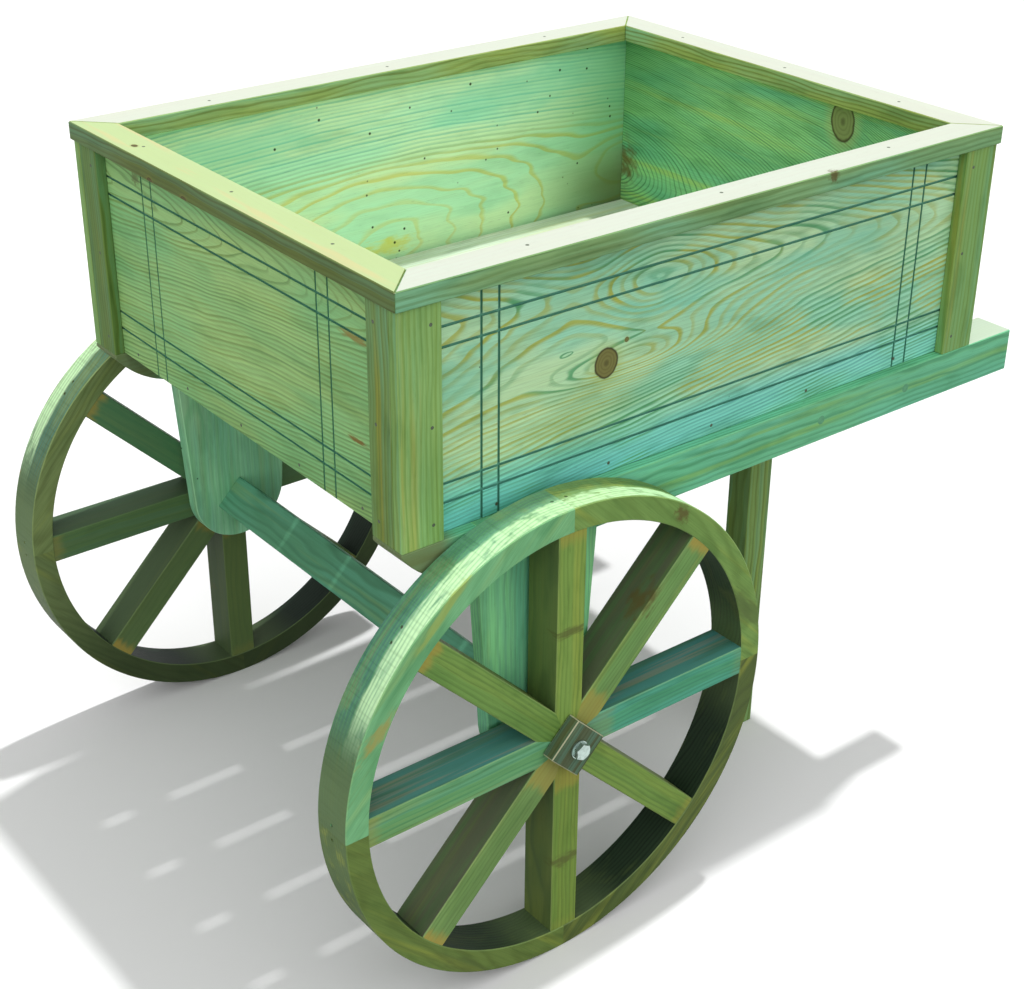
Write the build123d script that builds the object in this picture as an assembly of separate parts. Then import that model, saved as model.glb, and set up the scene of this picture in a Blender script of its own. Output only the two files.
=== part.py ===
from build123d import *
from math import radians, tan
import os

# Garden cart: an open planter box on two rails, with two spoked wheels at the front and two legs behind.
# Sizes are in millimetres. +X runs to the rear, where the rails stand out, -Y is the near side, +Z is up.
# The origin is on the ground, in the middle of the overall length and of the overall width.

# Box
box_length = 800.0  # rim, outside, front to rear
box_width = 614.0  # rim, outside, side to side
wall_height = 238.0  # panels and posts, from the rails up to the rim
rim_width = 40.0
rim_thickness = 20.0
rim_overhang = 3.0  # rim past the outer faces of the posts
post_width = 48.0  # each face of a corner, made of two battens
post_thickness = 12.0
panel_thickness = 12.0

# Grooves in the panels, in pairs
groove_width = 3.0
groove_depth = 2.5
groove_pitch = 20.0  # between the two grooves of a pair
groove_edge = 31.0  # outer groove of a level pair, from the panel's top or bottom edge
groove_post_side = 52.0  # outer groove of an upright pair, from the post, on the side panels
groove_post_end = 79.0  # the same on the end panels

# Floor
floor_thickness = 20.0
floor_board_count = 5
floor_board_gap = 5.0
floor_side_gap = 4.0
floor_end_gap = 1.0

# Rails, bearers and legs
rail_width = 48.0
rail_height = 50.0
rail_stub = 74.0  # rail behind the rear posts
rail_nose_radius = 112.0  # rounded underside of the rail's front end
rail_nose_lip = 4.0  # upright face left at the tip
bearer_width = 36.0
bearer_height = 48.0
bearer_bracket_margin = 10.0  # middle of the front bearer, ahead of the bracket
bearer_rear_inset = 100.0  # middle of the rear bearer, from the rim's rear edge
leg_size = 35.0
leg_rear_inset = 183.0  # leg's rear face from the rim's rear edge
leg_side_inset = 125.0  # leg's outer face from the rim's side edge

# Axle and the brackets that carry it
axle_drop = 198.0  # axle's middle below the rails
axle_size = 45.0  # square section
axle_turn = 45.0  # degrees, so that the axle lies on its edge
bracket_width = 148.0  # where it leaves the rail
bracket_thickness = 18.0
bracket_foot_radius = 62.0
bracket_foot_below = 49.0  # bracket's lowest point below the axle's middle

# Wheels
wheel_radius = 266.5
wheel_thickness = 48.0
wheel_gap = 4.0  # between a wheel and the rail beside it
wheel_setback = 164.0  # axle behind the rim's front edge
felloe_depth = 26.0  # rim of the wheel, radially
felloe_count = 4
spoke_count = 8
spoke_width = 34.0
spoke_recess = 1.0  # spokes behind each face of the wheel's rim
hub_plate_size = 48.0
hub_plate_thickness = 15.0
hub_plate_turn = 45.0  # degrees, so that the plate's edges follow the slanting spokes

# Axle screws with their washers
axle_screw_diameter = 10.0
axle_screw_head_width = 16.0  # across flats
axle_screw_head_height = 6.4
axle_screw_point = 10.0
axle_screw_tip_diameter = 4.0
axle_screw_head_slope = 2.0  # run over rise of the chamfer round the head
axle_screw_grip = 60.0  # length inside the axle
washer_diameter = 20.0
washer_thickness = 2.0
spacer_diameter = 30.0
running_clearance = 0.05  # radial, hub plate on its screw
hub_clearance = 0.5  # radial, spokes, washers and spacers round the screw
end_play = 0.3  # along the axle, each side of a wheel

# Nails and wood screws
nail_diameter = 2.2
nail_head_diameter = 3.6
nail_head_thickness = 1.0
nail_grip = 20.0  # length in the second piece
nail_sink = 1.0  # heads below the tread
post_nail_count = 3
post_nail_inset = 20.0  # top and bottom nails from the ends of a post
side_nail_count = 5
rim_nail_count = 3
spoke_nail_grip = 34.0
screw_diameter = 5.0
screw_head_diameter = 10.0
screw_head_height = 3.0
screw_grip = 40.0  # length in a bearer's end
bracket_screw_columns = 2
bracket_screw_rows = 2
leg_screw_count = 2
tip_cover = 3.0  # wood left in front of a fastener's tip
fastener_clearance = 0.05  # radial, hole round a nail or a screw
edge_ease = 1.0  # chamfer on the edges of the timber

# Lengthwise places
rail_length_from_rim = box_length - rim_overhang + rail_stub
front = -(wheel_setback - wheel_radius + rail_length_from_rim) / 2
rear = front + box_length
middle = (front + rear) / 2
wheel_x = front + wheel_setback
rail_front = front + rim_overhang
rail_back = front + rail_length_from_rim
half_length = box_length / 2

# Heights
axle_z = wheel_radius
rail_bottom = axle_z + axle_drop
rail_top = rail_bottom + rail_height
rail_middle = (rail_bottom + rail_top) / 2
wall_top = rail_top + wall_height
rim_top = wall_top + rim_thickness
floor_top = rail_top + floor_thickness

# Places across, as distances from the middle plane
side = box_width / 2
post_out = side - rim_overhang
panel_out = post_out - post_thickness
panel_in = panel_out - panel_thickness
rail_in = post_out - rail_width
bracket_in = post_out - bracket_thickness
wheel_in = post_out + wheel_gap
wheel_out = wheel_in + wheel_thickness
plate_out = wheel_out + hub_plate_thickness
washer_out = plate_out + end_play + washer_thickness

# The same for the two ends of the box, as distances from its middle
end_post_out = half_length - rim_overhang
end_panel_out = end_post_out - post_thickness
end_panel_in = end_panel_out - panel_thickness

SIDES = {"near": -1, "far": 1}
ENDS = {"front": -1, "rear": 1}
SEAT = (Align.CENTER, Align.CENTER, Align.MIN)

pieces = {}
holes = {}
fasteners = {}


def block(x_span, y_span, z_span):
    """A plain block, given by its two limits along each axis."""
    spans = [sorted(span) for span in (x_span, y_span, z_span)]
    sizes = [high - low for low, high in spans]
    centre = [(high + low) / 2 for low, high in spans]
    return Pos(*centre) * Box(*sizes)


def timber(x_span, y_span, z_span):
    """A squared timber with eased edges, given by its two limits along each axis."""
    return chamfer(block(x_span, y_span, z_span).edges(), edge_ease)


def evenly(low, high, count):
    """Places that divide a stretch into equal shares, one in the middle of each."""
    share = (high - low) / count
    return [low + share * (index + 0.5) for index in range(count)]


def spread(low, high, count):
    """Places at equal steps from one limit to the other, both taken."""
    step = (high - low) / (count - 1)
    return [low + step * index for index in range(count)]


def nail(at, direction, length, clearance=0.0, sink=0.0):
    """A wire nail with the face of its head at a point, or with a clearance the hole for it."""
    head_height = nail_head_thickness + clearance + sink
    head = Cylinder(nail_head_diameter / 2 + clearance, head_height, align=SEAT)
    shank = Cylinder(nail_diameter / 2 + clearance, length + clearance, align=SEAT)
    return Plane(origin=at, z_dir=direction) * (Pos(0, 0, -sink) * head + shank)


def wood_screw(at, direction, length, clearance=0.0):
    """A countersunk screw with the face of its head at a point, or with a clearance the hole for it."""
    shank_radius = screw_diameter / 2 + clearance
    head = Cone(screw_head_diameter / 2 + clearance, shank_radius, screw_head_height, align=SEAT)
    shank = Cylinder(shank_radius, length + clearance, align=SEAT)
    return Plane(origin=at, z_dir=direction) * (head + shank)


def fasten(group, make, at, direction, length, names):
    """Put one fastener into its group, and note its hole for each piece that it passes through."""
    fasteners.setdefault(group, []).append(make(at, direction, length))
    for name in names:
        holes.setdefault(name, []).append(make(at, direction, length, fastener_clearance))


def across(place):
    """Limits of a groove's width about its middle line."""
    return (place - groove_width / 2, place + groove_width / 2)


def groove_places(low, high, inset):
    """Middle lines of two pairs of grooves, one pair near each end of a stretch."""
    places = []
    for step in (inset, inset + groove_pitch):
        places += [low + step, high - step]
    return places


def make_panels():
    """Four grooved walls: the side panels run the whole length and the end panels stand between them."""
    level_places = groove_places(rail_top, wall_top, groove_edge)
    height = (rail_top, wall_top)
    for name, sign in SIDES.items():
        length = (middle - end_panel_out, middle + end_panel_out)
        depth = (sign * panel_out, sign * (panel_out - groove_depth))
        inset = groove_post_side + post_width - post_thickness
        cutters = [block(length, depth, across(z)) for z in level_places]
        cutters += [block(across(x), depth, height) for x in groove_places(*length, inset)]
        pieces["panel_" + name] = timber(length, (sign * panel_out, sign * panel_in), height) - cutters
    for name, sign in ENDS.items():
        width = (-panel_in, panel_in)
        faces = (middle + sign * end_panel_out, middle + sign * end_panel_in)
        depth = (faces[0], faces[0] - sign * groove_depth)
        inset = groove_post_end + post_width - post_thickness - panel_thickness
        cutters = [block(depth, width, across(z)) for z in level_places]
        cutters += [block(depth, across(y), height) for y in groove_places(*width, inset)]
        pieces["panel_" + name] = timber(faces, width, height) - cutters


def make_posts():
    """Two battens at each corner: the side one covers the edge of the end one."""
    height = (rail_top, wall_top)
    nail_length = post_thickness + panel_thickness - tip_cover
    for end_name, end_sign in ENDS.items():
        end_face = middle + end_sign * end_post_out
        end_seat = middle + end_sign * end_panel_out
        for side_name, side_sign in SIDES.items():
            corner = end_name + "_" + side_name
            side_post = "post_side_" + corner
            end_post = "post_end_" + corner
            inner_x = end_face - end_sign * post_width
            inner_y = side_sign * (post_out - post_width)
            side_faces = (side_sign * post_out, side_sign * panel_out)
            pieces[side_post] = timber((end_face, inner_x), side_faces, height)
            pieces[end_post] = timber((end_face, end_seat), (side_sign * panel_out, inner_y), height)
            nail_x = (middle + end_sign * end_panel_in + inner_x) / 2
            nail_y = (side_sign * panel_in + inner_y) / 2
            for z in spread(rail_top + post_nail_inset, wall_top - post_nail_inset, post_nail_count):
                fasten("box_nails", nail, (nail_x, side_sign * post_out, z), (0, -side_sign, 0),
                       nail_length, [side_post, "panel_" + side_name])
                fasten("box_nails", nail, (end_face, nail_y, z), (-end_sign, 0, 0),
                       nail_length, [end_post, "panel_" + end_name])


def make_rim():
    """Four flat boards with mitred corners on top of the walls, nailed down into the panels."""
    inner_x = half_length - rim_width
    inner_y = side - rim_width
    nail_length = rim_thickness + nail_grip
    nail_end = (end_panel_out - groove_depth + end_panel_in) / 2
    nail_side = (panel_out - groove_depth + panel_in) / 2
    boards = {}
    nails = {}
    for name, sign in SIDES.items():
        boards[name] = [(-half_length, sign * side), (half_length, sign * side),
                        (inner_x, sign * inner_y), (-inner_x, sign * inner_y)]
        nails[name] = [(x, sign * nail_side) for x in evenly(-inner_x, inner_x, rim_nail_count)]
    for name, sign in ENDS.items():
        boards[name] = [(sign * half_length, -side), (sign * half_length, side),
                        (sign * inner_x, inner_y), (sign * inner_x, -inner_y)]
        nails[name] = [(sign * nail_end, y) for y in evenly(-inner_y, inner_y, rim_nail_count)]
    for name, corners in boards.items():
        outline = make_face(Polyline(*corners, close=True).edges())
        board = extrude(outline, rim_thickness, dir=(0, 0, 1))
        pieces["rim_" + name] = Pos(middle, 0, wall_top) * chamfer(board.edges(), edge_ease)
        for x, y in nails[name]:
            fasten("box_nails", nail, (middle + x, y, rim_top), (0, 0, -1), nail_length,
                   ["rim_" + name, "panel_" + name])


def rail_profile():
    """Side view of a rail: square behind, with one round sweep under its front end."""
    rise = rail_height - rail_nose_lip
    run = (rail_nose_radius ** 2 - (rail_nose_radius - rise) ** 2) ** 0.5
    tip = (rail_front, rail_top - rail_nose_lip)
    end = (rail_front + run, rail_bottom)
    top_and_back = Polyline(end, (rail_back, rail_bottom), (rail_back, rail_top), (rail_front, rail_top), tip)
    sweep_under = TangentArc(end, tip, tangent=(-1, 0))
    return Plane.XZ * make_face(top_and_back.edges() + sweep_under.edges())


def bracket_profile():
    """Side view of a bracket: housed in the rail, tapered below it, and rounded under the axle."""
    half = bracket_width / 2
    round_z = axle_z + bracket_foot_radius - bracket_foot_below
    left = (wheel_x - bracket_foot_radius, round_z)
    right = (wheel_x + bracket_foot_radius, round_z)
    upper = Polyline(left, (wheel_x - half, rail_bottom), (wheel_x - half, rail_top),
                     (wheel_x + half, rail_top), (wheel_x + half, rail_bottom), right)
    foot = ThreePointArc(right, (wheel_x, axle_z - bracket_foot_below), left)
    return Plane.XZ * make_face(upper.edges() + foot.edges())


def slab(profile, inner, outer):
    """A side view given its thickness between two distances on the near side, with eased edges."""
    solid = extrude(profile, outer - inner, dir=(0, -1, 0))
    return Pos(0, -inner, 0) * chamfer(solid.edges(), edge_ease)


def make_rails_and_brackets():
    """Each rail is housed from outside for its bracket, which is screwed to it."""
    rail = slab(rail_profile(), rail_in, post_out)
    housing = block((wheel_x - bracket_width / 2, wheel_x + bracket_width / 2),
                    (-bracket_in, -side), (rail_bottom - edge_ease, rail_top + edge_ease))
    bracket = slab(bracket_profile(), bracket_in, post_out)
    for name, sign in SIDES.items():
        for base, shape in (("rail_", rail - housing), ("bracket_", bracket)):
            pieces[base + name] = shape if sign < 0 else mirror(shape, about=Plane.XZ)
        for x in evenly(wheel_x - bracket_width / 2, wheel_x + bracket_width / 2, bracket_screw_columns):
            for z in evenly(rail_bottom, rail_top, bracket_screw_rows):
                fasten("frame_screws", wood_screw, (x, sign * post_out, z), (0, -sign, 0),
                       rail_width - tip_cover, ["bracket_" + name, "rail_" + name])


def make_bearers_and_legs():
    """Three bearers between the rails, with the legs screwed to the back of the middle one."""
    leg_back = rear - leg_rear_inset
    leg_front = leg_back - leg_size
    centres = {
        "front": wheel_x - bracket_width / 2 - bearer_bracket_margin,
        "leg": leg_front - bearer_width / 2,
        "rear": rear - bearer_rear_inset,
    }
    for bearer_name, x in centres.items():
        bearer = "bearer_" + bearer_name
        limits = (x - bearer_width / 2, x + bearer_width / 2)
        pieces[bearer] = timber(limits, (-rail_in, rail_in), (rail_top - bearer_height, rail_top))
        screw_x = x - bearer_width / 4
        for side_name, sign in SIDES.items():
            fasten("frame_screws", wood_screw, (screw_x, sign * post_out, rail_middle), (0, -sign, 0),
                   rail_width + screw_grip, ["rail_" + side_name, bearer])
    for name, sign in SIDES.items():
        outer = side - leg_side_inset
        pieces["leg_" + name] = timber((leg_front, leg_back), (sign * outer, sign * (outer - leg_size)),
                                       (0, rail_top))
        leg_y = sign * (outer - leg_size / 2)
        for z in evenly(rail_top - bearer_height, rail_top, leg_screw_count):
            fasten("frame_screws", wood_screw, (leg_back, leg_y, z), (-1, 0, 0),
                   leg_size + bearer_width - tip_cover, ["leg_" + name, "bearer_leg"])
    return centres


def make_floor(bearer_centres):
    """Lengthwise boards on the rails and bearers, with the panels nailed to their edges and ends."""
    reach = panel_in - floor_side_gap
    board_width = (2 * reach - (floor_board_count - 1) * floor_board_gap) / floor_board_count
    length = (middle - end_panel_in + floor_end_gap, middle + end_panel_in - floor_end_gap)
    boards = []
    board_middle_z = rail_top + floor_thickness / 2
    end_nail_length = panel_thickness + floor_end_gap + nail_grip
    for index in range(floor_board_count):
        low = -reach + index * (board_width + floor_board_gap)
        boards.append(timber(length, (low, low + board_width), (rail_top, floor_top)))
        y = low + board_width / 2
        for bearer_name, x in bearer_centres.items():
            fasten("box_nails", nail, (x + bearer_width / 4, y, floor_top), (0, 0, -1),
                   floor_thickness + nail_grip, ["floor_boards", "bearer_" + bearer_name])
        for end_name, sign in ENDS.items():
            fasten("box_nails", nail, (middle + sign * end_panel_out, y, board_middle_z), (-sign, 0, 0),
                   end_nail_length, ["panel_" + end_name, "floor_boards"])
    for side_name, sign in SIDES.items():
        inner_end = end_post_out - post_width
        for x in evenly(middle - inner_end, middle + inner_end, side_nail_count):
            fasten("box_nails", nail, (x, sign * panel_out, board_middle_z), (0, -sign, 0),
                   panel_thickness + floor_side_gap + nail_grip, ["panel_" + side_name, "floor_boards"])
    pieces["floor_boards"] = boards


def make_axle():
    """A square timber on its edge between the brackets, with a screw, washer and spacer at each end."""
    length = 2 * bracket_in
    bar = Box(axle_size, length, axle_size)
    bar = chamfer(bar.edges(), edge_ease)
    pieces["axle"] = Pos(wheel_x, 0, axle_z) * Rot(0, axle_turn, 0) * bar
    shank_length = washer_out - bracket_in + axle_screw_grip
    flats = RegularPolygon(axle_screw_head_width / 2, 6, major_radius=False)
    head_top = axle_screw_head_width / 2
    head_foot = head_top + axle_screw_head_slope * axle_screw_head_height
    chamfer_cone = Cone(head_foot, head_top, axle_screw_head_height, align=SEAT)
    head = extrude(flats, axle_screw_head_height) & chamfer_cone
    shank_radius = axle_screw_diameter / 2
    plain_length = shank_length - axle_screw_point
    shank = Pos(0, 0, -plain_length) * Cylinder(shank_radius, plain_length, align=SEAT)
    tip_radius = axle_screw_tip_diameter / 2
    point = Pos(0, 0, -shank_length) * Cone(tip_radius, shank_radius, axle_screw_point, align=SEAT)
    screw = head + shank + point
    hole_radius = shank_radius + fastener_clearance
    washer = Cylinder(washer_diameter / 2, washer_thickness, align=SEAT)
    spacer_thickness = wheel_gap - end_play
    spacer = Cylinder(spacer_diameter / 2, spacer_thickness, align=SEAT)
    loose_radius = shank_radius + hub_clearance
    for name, sign in SIDES.items():
        outward = Plane(origin=(wheel_x, 0, axle_z), z_dir=(0, sign, 0))
        tip = washer_out - shank_length
        hole = outward * Pos(0, 0, tip) * Cylinder(hole_radius, side - tip, align=SEAT)
        holes.setdefault("axle", []).append(hole)
        holes.setdefault("bracket_" + name, []).append(hole)
        loose = Cylinder(loose_radius, plate_out, align=SEAT)
        parts = {
            "axle_screws": Pos(0, 0, washer_out) * screw,
            "axle_washers": Pos(0, 0, washer_out - washer_thickness) * (washer - loose),
            "axle_spacers": Pos(0, 0, post_out) * (spacer - loose),
        }
        for group, shape in parts.items():
            fasteners.setdefault(group, []).append(outward * shape)


def sector(count):
    """A wedge about +X that is one of so many equal shares of a turn, wider than the wheel."""
    reach = 2 * wheel_radius
    half_width = reach * tan(radians(180 / count))
    outline = make_face(Polyline((0, 0), (reach, -half_width), (reach, half_width), close=True).edges())
    return extrude(Plane.XZ * outline, wheel_thickness, both=True)


def disc(radius, thickness):
    """A round plate in the wheel's plane."""
    return Rot(90, 0, 0) * Cylinder(radius, thickness)


def make_wheels():
    """Each wheel: felloes that make the rim, mitred spokes that meet at the middle, a hub plate and nails."""
    rim_inside = wheel_radius - felloe_depth
    ring = disc(wheel_radius, wheel_thickness) - disc(rim_inside, 2 * wheel_thickness)
    ring = chamfer(ring.edges().filter_by(GeomType.CIRCLE), edge_ease)
    depth = wheel_thickness - 2 * spoke_recess
    bar = Pos(rim_inside / 2, 0, 0) * Box(rim_inside, depth, spoke_width)
    bar = chamfer(bar.edges().filter_by(Axis.X), edge_ease)
    loose = disc(axle_screw_diameter / 2 + hub_clearance, 2 * wheel_thickness)
    spoke = (bar & sector(spoke_count)) & disc(rim_inside, 2 * wheel_thickness)
    spoke = spoke - loose
    nail_offset = spoke_width / 4
    head_edge = nail_offset + nail_head_diameter / 2
    head_x = (wheel_radius ** 2 - head_edge ** 2) ** 0.5 - nail_sink
    nail_length = head_x - rim_inside + spoke_nail_grip
    nail_places = [((head_x, 0, offset), (-1, 0, 0), nail_length) for offset in (-nail_offset, nail_offset)]
    sink = wheel_radius - head_x
    nail_holes = [nail(*place, fastener_clearance, sink) for place in nail_places]
    turns = [Rot(0, -360 * index / spoke_count, 0) for index in range(spoke_count)]
    rim_holes = [turn * hole for turn in turns for hole in nail_holes]
    felloe_turns = [Rot(0, -360 * (index + 0.5) / felloe_count, 0) for index in range(felloe_count)]
    plate = Box(hub_plate_size, hub_plate_thickness, hub_plate_size)
    plate = chamfer(plate.edges(), edge_ease)
    bore = disc(axle_screw_diameter / 2 + running_clearance, 2 * hub_plate_thickness)
    plate = Rot(0, hub_plate_turn, 0) * plate - bore
    for name, sign in SIDES.items():
        centre = Pos(wheel_x, sign * (wheel_in + wheel_out) / 2, axle_z)
        for index, turn in enumerate(felloe_turns):
            felloe = ring & (turn * sector(felloe_count))
            pieces[f"felloe_{name}_{index + 1}"] = centre * (felloe - rim_holes)
        for index, turn in enumerate(turns):
            pieces[f"spoke_{name}_{index + 1}"] = centre * turn * (spoke - nail_holes)
        pieces["hub_plate_" + name] = Pos(wheel_x, sign * (wheel_out + plate_out) / 2, axle_z) * plate
        nails = [centre * turn * nail(*place) for turn in turns for place in nail_places]
        fasteners["wheel_nails_" + name] = nails


def drilled(name, shape):
    """A piece, or a list of pieces that share a node, with its fasteners' holes."""
    if name not in holes:
        return shape
    if isinstance(shape, list):
        return [single - holes[name] for single in shape]
    return shape - holes[name]


make_panels()
make_posts()
make_rim()
make_rails_and_brackets()
make_floor(make_bearers_and_legs())
make_axle()
make_wheels()

os.makedirs("parts", exist_ok=True)
for name, shape in pieces.items():
    finished = drilled(name, shape)
    if isinstance(finished, list):
        finished = Compound(finished)
    export_step(finished, f"parts/{name}.step")
for name, shapes in fasteners.items():
    export_step(Compound(shapes), f"parts/{name}.step")
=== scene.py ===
"""Garden cart: finishes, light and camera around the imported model."""

import math
import random

import bpy
from mathutils import Euler, Matrix, Vector


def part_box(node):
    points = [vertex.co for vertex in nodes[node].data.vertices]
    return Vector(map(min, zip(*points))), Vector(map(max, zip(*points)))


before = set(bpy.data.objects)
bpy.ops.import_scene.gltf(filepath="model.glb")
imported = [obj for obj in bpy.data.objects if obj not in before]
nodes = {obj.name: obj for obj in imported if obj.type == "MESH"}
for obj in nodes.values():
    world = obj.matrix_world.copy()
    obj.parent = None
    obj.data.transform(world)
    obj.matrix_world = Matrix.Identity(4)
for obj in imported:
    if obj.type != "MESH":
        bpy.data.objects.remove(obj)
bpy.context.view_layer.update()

MILLIMETRES = 1000.0
SIDES = ("near", "far")
ENDS = ("front", "rear")
SPOKES = 8
FELLOES = 4

# grain directions, as the turn that brings each one onto x
ALONG_X = Euler((0, 0, 0))
ALONG_Y = Euler((0, 0, -math.pi / 2))
ALONG_Z = Euler((0, math.pi / 2, 0))

# how squarely a face looks along an axis where it starts to count, and where it counts in full
TURNED_TO = (0.7, 0.9)
TURNED_AWAY = (0.7, 0.3)
TOP_FACE = (0.8, 0.97)
END_FACE = (0.85, 0.95)
EASED_EDGE = (0.93, 0.8)


def colour(red, green, blue):
    """A colour as picked on a screen, 0 to 255, for a shader socket."""
    def linear(value):
        value = value / 255
        if value <= 0.04045:
            return value / 12.92
        return ((value + 0.055) / 1.055) ** 2.4
    return (linear(red), linear(green), linear(blue), 1)


# colours of the treated timber
MINT = colour(208, 246, 194)
TEAL = colour(130, 228, 206)
WET_TEAL = colour(146, 240, 224)
BLUE = colour(96, 200, 220)
DEEP_GREEN = colour(96, 174, 118)
OCHRE = colour(186, 194, 84)
ORANGE = colour(188, 162, 76)
KNOT_BROWN = colour(126, 124, 70)
KNOT_DARK = colour(98, 90, 48)
BARK = colour(60, 54, 34)

# what multiplies a colour where the timber is soaked, mottled, fibrous, flecked, specked or cut across
SOAKED = colour(160, 186, 160)
MOTTLED = colour(150, 182, 160)
FIBROUS = colour(150, 174, 140)
FLECKED = colour(90, 110, 80)
SPECKED = colour(80, 90, 70)
END_GRAIN = colour(170, 180, 150)


class Field:
    """An output socket in a node tree. Arithmetic on it adds nodes to the tree."""

    def __init__(self, tree, socket):
        self.tree = tree
        self.socket = socket

    def math(self, operation, *others):
        node = self.tree.nodes.new("ShaderNodeMath")
        node.operation = operation
        for target, value in zip(node.inputs, (self, *others)):
            feed(self.tree, target, value)
        return Field(self.tree, node.outputs[0])

    def __add__(self, other):
        return self.math("ADD", other)

    def __sub__(self, other):
        return self.math("SUBTRACT", other)

    def __mul__(self, other):
        return self.math("MULTIPLY", other)

    def __truediv__(self, other):
        return self.math("DIVIDE", other)

    def rise(self, low, high):
        """Goes smoothly from 0 at low to 1 at high, or down again where high is the smaller."""
        if high < low:
            return self.rise(high, low).math("MULTIPLY_ADD", -1.0, 1.0)
        node = self.tree.nodes.new("ShaderNodeMapRange")
        node.interpolation_type = "SMOOTHSTEP"
        feed(self.tree, node.inputs["Value"], self)
        node.inputs["From Min"].default_value = low
        node.inputs["From Max"].default_value = high
        return Field(self.tree, node.outputs[0])

    def band(self, middle_of_band, half_width):
        """Is 1 at the middle and falls smoothly to 0 at half_width either side."""
        return (self - middle_of_band).math("ABSOLUTE").rise(half_width, 0)


def feed(tree, target, value):
    """Links a field to a socket, or sets the socket to a plain value."""
    if isinstance(value, Field):
        tree.links.new(value.socket, target)
    else:
        target.default_value = value


def length_of(first, *others):
    """Length of the vector with these parts."""
    squares = first * first
    for part in others:
        squares = squares + part * part
    return squares.math("SQRT")


class Finish:
    """A material being built. Its coordinates are millimetres from origin, with x along the grain."""

    # how many features the noise is shifted by at most
    NOISE_SHIFT = 50

    # sockets of the Mix node for colours
    MIX_SHARE = 0
    MIX_FIRST = 6
    MIX_SECOND = 7
    MIX_RESULT = 2

    def __init__(self, name, origin=Vector(), grain=ALONG_X):
        self.random = random.Random(name)
        self.material = bpy.data.materials.new(name)
        self.material.use_nodes = True
        self.tree = self.material.node_tree
        self.shader = self.tree.nodes["Principled BSDF"]
        place = self.tree.nodes.new("ShaderNodeTexCoord")
        turned_origin = grain.to_matrix() @ Vector(origin)
        self.point = self.turned(place.outputs["Object"], grain, -turned_origin * MILLIMETRES, MILLIMETRES)
        facing = self.turned(place.outputs["Normal"], grain)
        self.x, self.y, self.z = self.parts(self.point)
        self.face_x, self.face_y, self.face_z = (part.math("ABSOLUTE") for part in self.parts(facing))
        _, self.face_far, self.face_up = self.parts(Field(self.tree, place.outputs["Normal"]))
        self.shade = None

    def turned(self, socket, grain, location=Vector(), scale=1.0):
        node = self.tree.nodes.new("ShaderNodeMapping")
        self.tree.links.new(socket, node.inputs["Vector"])
        node.inputs["Location"].default_value = location
        node.inputs["Rotation"].default_value = grain
        node.inputs["Scale"].default_value = (scale, scale, scale)
        return Field(self.tree, node.outputs[0])

    def parts(self, vector):
        node = self.tree.nodes.new("ShaderNodeSeparateXYZ")
        feed(self.tree, node.inputs[0], vector)
        return [Field(self.tree, output) for output in node.outputs]

    def noise(self, lengths, detail=2.0):
        """Soft noise from 0 to 1 with features of these lengths along x, y and z."""
        stretch = self.tree.nodes.new("ShaderNodeVectorMath")
        stretch.operation = "MULTIPLY_ADD"
        feed(self.tree, stretch.inputs[0], self.point)
        stretch.inputs[1].default_value = [1 / length for length in lengths]
        shifts = [self.random.uniform(-self.NOISE_SHIFT, self.NOISE_SHIFT) for _ in lengths]
        stretch.inputs[2].default_value = shifts
        node = self.tree.nodes.new("ShaderNodeTexNoise")
        node.inputs["Scale"].default_value = 1.0
        node.inputs["Detail"].default_value = detail
        self.tree.links.new(stretch.outputs[0], node.inputs["Vector"])
        return Field(self.tree, node.outputs[0])

    def patches(self, lengths, start, full, detail=2.0):
        """Is 0 where the noise is at start and 1 where it is at full."""
        return self.noise(lengths, detail).rise(start, full)

    def sway(self, lengths, reach, detail=2.0):
        """Noise to both sides of 0, half of reach to each at most."""
        return (self.noise(lengths, detail) - 0.5) * reach

    def chance(self, number):
        """A random value from 0 to 1 for each number."""
        node = self.tree.nodes.new("ShaderNodeTexWhiteNoise")
        node.noise_dimensions = "1D"
        feed(self.tree, node.inputs["W"], number)
        return Field(self.tree, node.outputs[0])

    def mix(self, share, first, second, blend="MIX"):
        node = self.tree.nodes.new("ShaderNodeMix")
        node.data_type = "RGBA"
        node.blend_type = blend
        node.clamp_factor = True
        feed(self.tree, node.inputs[self.MIX_SHARE], share)
        feed(self.tree, node.inputs[self.MIX_FIRST], first)
        feed(self.tree, node.inputs[self.MIX_SECOND], second)
        return Field(self.tree, node.outputs[self.MIX_RESULT])

    def tint(self, share, colour_to):
        self.shade = self.mix(share, self.shade, colour_to)

    def darken(self, share, colour_by):
        self.shade = self.mix(share, self.shade, colour_by, "MULTIPLY")

    def done(self, height, roughness, depth):
        """Links colour, roughness and a bump of this depth in millimetres to the shader."""
        bump = self.tree.nodes.new("ShaderNodeBump")
        bump.inputs["Strength"].default_value = 1.0
        bump.inputs["Distance"].default_value = depth / MILLIMETRES
        feed(self.tree, bump.inputs["Height"], height)
        feed(self.tree, self.shader.inputs["Base Color"], self.shade)
        feed(self.tree, self.shader.inputs["Roughness"], roughness)
        self.tree.links.new(bump.outputs[0], self.shader.inputs["Normal"])
        return self.material


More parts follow.
